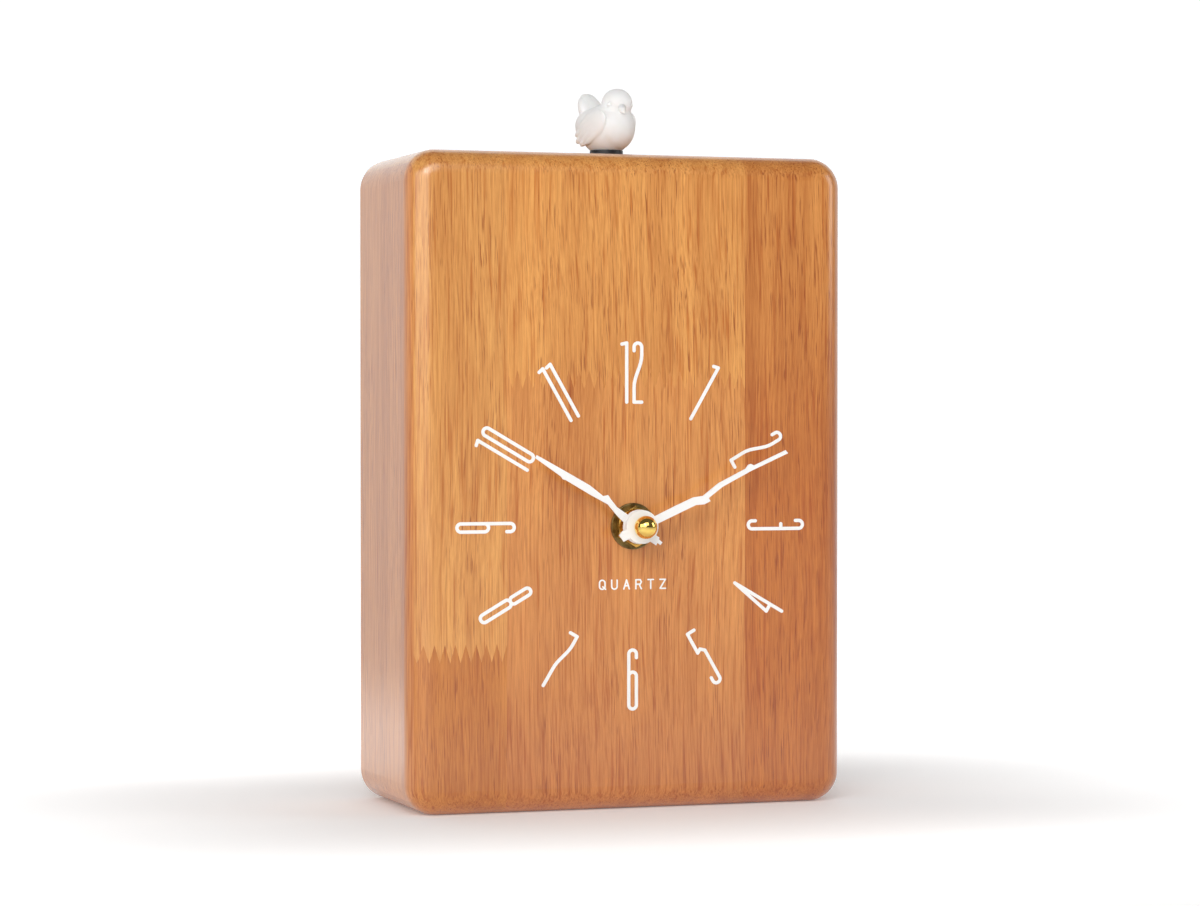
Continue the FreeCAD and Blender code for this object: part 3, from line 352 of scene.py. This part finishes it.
paint_nodes(lacquered, ["wood_case"])
paint_nodes(back_board, ["rear_cover"])
paint_nodes(print_ink, ["dial_numerals", "dial_word"])
paint_nodes(hand_paint, ["hour_hand", "minute_hand"])
paint_nodes(gold, ["cap_nut"])
paint_nodes(brass, ["hex_nut", "threaded_post"])
paint_nodes(antique, ["dial_washer"])
paint_nodes(arbor_brass, ["minute_arbor"])
paint_nodes(steel, ["contact_positive", "contact_negative", "retaining_clip", "button_spring",
                    "board_screws", "coin_cell_clip", "cover_discs"])
paint_nodes(nickel, ["case_magnets", "quartz_crystal", "coin_cell"])
paint_nodes(soft_iron, ["stator"])
paint_nodes(magnet_dark, ["rotor_magnet"])
paint_nodes(shell_black, ["movement_front_shell", "movement_rear_shell"])
paint_nodes(knob_black, ["setting_knob"])
paint_nodes(stem_black, ["button_stem"])
paint_nodes(bush_black, ["guide_bush"])
paint_nodes(rubber, ["rubber_gasket"])
paint_nodes(gear_white, ["centre_wheel", "third_wheel", "intermediate_wheel", "hour_wheel"])
paint_nodes(gear_natural, ["seconds_wheel", "rotor_pinion", "minute_wheel"])
paint_nodes(bobbin_white, ["coil_bobbin"])
paint_nodes(coil_copper(), ["coil_winding"])
paint_nodes(board_laminate(), ["circuit_board", "sound_board"])
paint_nodes(epoxy, ["driver_chip"])
paint_nodes(cell_wrap(), ["battery_cell"])
paint_nodes(switch_black, ["tact_switch", "buzzer"])


# ---------------------------------------------------------------- the bird

# The bird is sculpted in its own frame in millimetres: u forward, l to its left, w up from its base.
BIRD_YAW = math.radians(25)
HEAD_YAW = math.radians(-23)
HEAD = Vector((4.2, 0.5, 14.3))
HEAD_R = 4.75
WING_AXIS = Vector((0.84, 0.0, 0.54))
WING_ACROSS = Vector((-0.54, 0.0, 0.84))
WING_MID = Vector((0.0, 6.4, 7.0))
WING_LONG, WING_THICK, WING_TALL = 7.0, 1.6, 4.5
EYE_ANGLE = math.radians(56)
EYE_RISE = -0.5
EYE_R = 0.85
EYE_HOLLOW_R = 1.7
EYE_HOLLOW_DEEP = 0.35


def add_blob(bm, centre, radii, axis=None):
    """An ellipsoid; axis is the direction its first radius lies along."""
    turn = Matrix.Identity(4)
    if axis is not None:
        turn = Vector(axis).normalized().to_track_quat("X", "Z").to_matrix().to_4x4()
    matrix = Matrix.Translation(centre) @ turn @ Matrix.Diagonal((*radii, 1.0))
    bmesh.ops.create_icosphere(bm, subdivisions=5, radius=1.0, matrix=matrix)


def add_cone(bm, root, tip, root_r, tip_r):
    axis = Vector(tip) - Vector(root)
    turn = axis.normalized().to_track_quat("Z", "Y").to_matrix().to_4x4()
    matrix = Matrix.Translation(Vector(root) + axis / 2) @ turn
    bmesh.ops.create_cone(bm, cap_ends=True, segments=48, radius1=root_r, radius2=tip_r,
                          depth=axis.length, matrix=matrix)


def head_point(angle, reach, rise):
    return HEAD + Vector((reach * math.cos(HEAD_YAW + angle), reach * math.sin(HEAD_YAW + angle), rise))


def meshed(bm, name, voxel, smooth):
    """Turns a pile of shapes into one even skin and softens where they meet."""
    mesh = bpy.data.meshes.new(name)
    bm.to_mesh(mesh)
    bm.free()
    piece = bpy.data.objects.new(name, mesh)
    bpy.context.scene.collection.objects.link(piece)
    skin = piece.modifiers.new("skin", "REMESH")
    skin.mode = "VOXEL"
    skin.voxel_size = voxel
    soft = piece.modifiers.new("soft", "SMOOTH")
    soft.factor = 0.5
    soft.iterations = smooth
    evaluated = piece.evaluated_get(bpy.context.evaluated_depsgraph_get())
    final = bpy.data.meshes.new_from_object(evaluated)
    bpy.data.objects.remove(piece)
    final.name = name
    return final


def feather_relief(p):
    """Depth of the grooves cut into the skin at a point of the bird, in millimetres."""
    relief = 0.0
    side = 1.0 if p.y > 0 else -1.0
    local = p - Vector((WING_MID.x, side * WING_MID.y, WING_MID.z))
    along = local.dot(WING_AXIS)
    across = local.dot(WING_ACROSS)
    inside = (along / 7.0) ** 2 + (across / 4.6) ** 2
    if abs(p.y) > 5.2 and inside < 1.0:
        fade = min(1.0, (1.0 - inside) * 5.0) * min(1.0, max(0.0, 2.5 - along) / 4.0)
        relief -= 0.16 * fade * abs(math.sin(across * 1.9 + 0.4)) ** 6
        relief += 0.05 * fade
    if p.x < -6.0 and p.z > 11.0:
        fade = min(1.0, (p.z - 11.0) / 3.0)
        relief -= 0.14 * fade * abs(math.cos(p.y * 1.05)) ** 10
    return relief


def sculpt_bird():
    """Body, head, tail and wings under one skin, then feathers, eye hollows, eyes and beak."""
    bm = bmesh.new()
    add_blob(bm, (0.0, 0.0, 6.5), (8.8, 7.6, 8.0))
    add_blob(bm, (2.6, 0.2, 7.0), (6.9, 7.1, 7.4))
    add_blob(bm, (-4.9, -0.3, 7.9), (5.9, 6.3, 5.6))
    add_blob(bm, (3.4, 0.3, 11.6), (5.0, 5.2, 4.6))
    add_blob(bm, HEAD, (HEAD_R + 0.15, HEAD_R, HEAD_R))
    add_blob(bm, (-7.2, 0.3, 12.9), (5.8, 5.2, 2.5), (-0.36, -0.03, 0.93))
    for side in (-1, 1):
        mid = Vector((WING_MID.x, side * WING_MID.y, WING_MID.z))
        add_blob(bm, mid, (WING_LONG, WING_THICK, WING_TALL), WING_AXIS)
        for step, drop in ((-6.2, -0.2), (-5.4, 1.7), (-5.2, -2.0)):
            tip = mid + WING_AXIS * step + WING_ACROSS * drop
            add_blob(bm, tip, (1.9, 1.1, 1.0), WING_AXIS)
    skin = meshed(bm, "bird_skin", 0.2, 9)
    normals = [v.normal.copy() for v in skin.vertices]
    for vertex, normal in zip(skin.vertices, normals):
        p = vertex.co
        p += normal * (feather_relief(p) + 0.05 * noise.noise(p * 0.35))
        for angle in (-EYE_ANGLE, EYE_ANGLE):
            gap = (p - head_point(angle, HEAD_R - 0.2, EYE_RISE)).length
            if gap < EYE_HOLLOW_R:
                p -= normal * EYE_HOLLOW_DEEP * math.cos(gap / EYE_HOLLOW_R * math.pi / 2) ** 2
        p.z = max(p.z, 0.0)
    bm = bmesh.new()
    bm.from_mesh(skin)
    for angle in (-EYE_ANGLE, EYE_ANGLE):
        add_blob(bm, head_point(angle, HEAD_R - 0.55, EYE_RISE), (EYE_R, EYE_R, EYE_R))
    add_cone(bm, head_point(0.0, 3.4, -1.3), head_point(0.0, 6.4, -3.3), 1.85, 0.22)
    bm.to_mesh(skin)
    bm.free()
    for polygon in skin.polygons:
        polygon.use_smooth = True
    low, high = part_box("bird_figurine")
    stem_low, stem_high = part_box("button_stem")
    middle = (stem_low + stem_high) / 2
    turn = Matrix.Rotation(-math.pi / 2 + BIRD_YAW, 4, "Z")
    place = Matrix.Translation((middle.x, middle.y, low.z)) @ turn @ Matrix.Scale(MM, 4)
    skin.transform(place)
    bird = bpy.data.objects.new("bird_sculpt", skin)
    bpy.context.scene.collection.objects.link(bird)
    skin.materials.clear()
    skin.materials.append(bird_glaze())
    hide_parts("bird_figurine")
    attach(bird, "bird button")


sculpt_bird()


# ---------------------------------------------------------------- studio

# the paper sweep, in metres: how far it runs to the front and sides, where it bends up, how tall it is
SWEEP_REACH = 14.0
SWEEP_BEND_Y = 1.4
SWEEP_BEND_R = 0.8
SWEEP_BEND_STEPS = 12
SWEEP_TOP = 4.0


def studio_sweep():
    """Floor that runs up into a backdrop behind the clock."""
    profile = [(-SWEEP_REACH, 0.0), (SWEEP_BEND_Y, 0.0)]
    for k in range(1, SWEEP_BEND_STEPS + 1):
        angle = math.pi / 2 * k / SWEEP_BEND_STEPS
        profile.append((SWEEP_BEND_Y + SWEEP_BEND_R * math.sin(angle),
                        SWEEP_BEND_R - SWEEP_BEND_R * math.cos(angle)))
    profile.append((SWEEP_BEND_Y + SWEEP_BEND_R, SWEEP_TOP))
    bm = bmesh.new()
    rows = [[bm.verts.new((x, y, z)) for y, z in profile] for x in (-SWEEP_REACH, SWEEP_REACH)]
    for k in range(len(profile) - 1):
        bm.faces.new((rows[0][k], rows[1][k], rows[1][k + 1], rows[0][k + 1]))
    mesh = bpy.data.meshes.new("studio_sweep")
    bm.to_mesh(mesh)
    bm.free()
    for polygon in mesh.polygons:
        polygon.use_smooth = True
    sweep = bpy.data.objects.new("studio_sweep", mesh)
    bpy.context.scene.collection.objects.link(sweep)
    # the paper glows a little, a painted light that keeps the ground even and pale from every side and
    # lights the clock from below and the sides
    g = Graph("glowing_studio_paper")
    tone = g.noise(g.point, (0.004, 0.004, 0.004), 2.0)
    g.set(Base_Color=g.ramp(tone, [(0.3, (0.90, 0.90, 0.90)), (0.7, (0.93, 0.93, 0.93))]))
    x, y = g.split(g.point)[:2]
    glow = g.ramp(g.calc("MULTIPLY_ADD", y, 0.0002, 0.5),
                  [(0.425, 0.0), (0.455, 0.45), (0.505, 0.45), (0.55, 0.64), (0.74, 0.64), (0.90, 0.29)])
    # painted contact shadow: the glow is cut close under the clock, which also dims the bounce onto its
    # lower edge
    far = g.calc("SQRT", g.calc("ADD", g.calc("POWER", g.calc("DIVIDE", x, 110.0), 4.0),
                                g.calc("POWER", g.calc("DIVIDE", y, 70.0), 4.0)))
    glow = g.mix(1.0, glow, g.ramp(g.calc("MULTIPLY", far, 0.3), [(0.05, 0.25), (0.9, 1.0)]), "MULTIPLY")
    # weaker to the sides, so that the sides of the clock keep some shade
    left = g.calc("MULTIPLY_ADD", g.calc("MULTIPLY_ADD", y, -0.158, x), 0.001, 0.5)
    right = g.calc("MULTIPLY_ADD", g.calc("MULTIPLY_ADD", y, -0.548, x), 0.001, 0.5)
    wall = g.ramp(g.calc("MULTIPLY_ADD", y, 0.0002, 0.5), [(0.62, 0.0), (0.72, 1.0)])
    side = g.mix(wall, g.ramp(left, [(0.20, 0.10), (0.30, 1.0)]), g.ramp(left, [(0.0, 0.10), (0.26, 1.0)]))
    glow = g.mix(1.0, glow, side, "MULTIPLY")
    glow = g.mix(1.0, glow, g.ramp(right, [(0.76, 1.0), (0.96, 0.3)]), "MULTIPLY")
    # the far floor, past the reach of the lamps
    reach = g.calc("SQRT", g.calc("ADD", g.calc("MULTIPLY", x, x), g.calc("MULTIPLY", y, y)))
    ring = g.ramp(g.calc("MULTIPLY", reach, 0.00025), [(0.26, 0.0), (0.56, 0.50)])
    front = g.ramp(g.calc("MULTIPLY_ADD", y, 0.0002, 0.5), [(0.30, 1.0), (0.48, 0.70)])
    ring = g.mix(1.0, ring, front, "MULTIPLY")
    g.set(Roughness=0.85, Emission_Color=g.mix(1.0, glow, ring, "ADD"), Emission_Strength=1.0)
    mesh.materials.append(g.mat)


def softbox(name, place, target, width, height, power):
    """A rectangular lamp aimed at target, which no camera sees itself."""
    light = bpy.data.lights.new(name, "AREA")
    light.shape = "RECTANGLE"
    light.size = width
    light.size_y = height
    light.energy = power
    lamp = bpy.data.objects.new(name, light)
    lamp.location = place
    lamp.visible_camera = False
    lamp.rotation_euler = (Vector(target) - Vector(place)).to_track_quat("-Z", "Y").to_euler()
    bpy.context.scene.collection.objects.link(lamp)
    return lamp


def set_world(strength):
    world = bpy.data.worlds.new("studio_air")
    bpy.context.scene.world = world
    world.use_nodes = True
    back = world.node_tree.nodes["Background"]
    back.inputs["Color"].default_value = (1.0, 1.0, 1.0, 1.0)
    back.inputs["Strength"].default_value = strength


studio_sweep()
set_world(0.12)
# each lamp: name, place, aim, width and height in metres, watts
softbox("key_softbox", (-0.72, -1.25, 0.95), (0, 0, 0.1), 0.55, 0.55, 4.6)
softbox("front_softbox", (-0.15, -1.45, 1.10), (0, 0, 0.1), 1.0, 0.9, 6.2)
softbox("left_softbox", (-1.02, -1.05, 0.56), (0, 0, 0.12), 1.90, 0.82, 9.1)
softbox("right_softbox", (1.15, -0.50, 0.54), (0, 0, 0.12), 0.50, 0.70, 2.7)


# ---------------------------------------------------------------- camera

def place_camera():
    """The photograph's viewpoint: a little to the left of the clock, just above its middle."""
    azimuth = math.radians(-18.87)
    elevation = math.radians(1.09)
    distance = 1.0796
    back = Vector((math.sin(azimuth) * math.cos(elevation), -math.cos(azimuth) * math.cos(elevation),
                   math.sin(elevation)))
    lens = bpy.data.cameras.new("camera")
    lens.lens = 103.7
    lens.sensor_width = 36.0
    lens.shift_x = -0.0005
    lens.shift_y = 0.0225
    lens.clip_start = 0.05
    camera = bpy.data.objects.new("camera", lens)
    camera.location = Vector((0, 0, 0.1)) + back * distance
    camera.rotation_euler = (-back).to_track_quat("-Z", "Y").to_euler()
    bpy.context.scene.collection.objects.link(camera)
    bpy.context.scene.camera = camera


place_camera()
bpy.context.scene.view_settings.view_transform = "Standard"
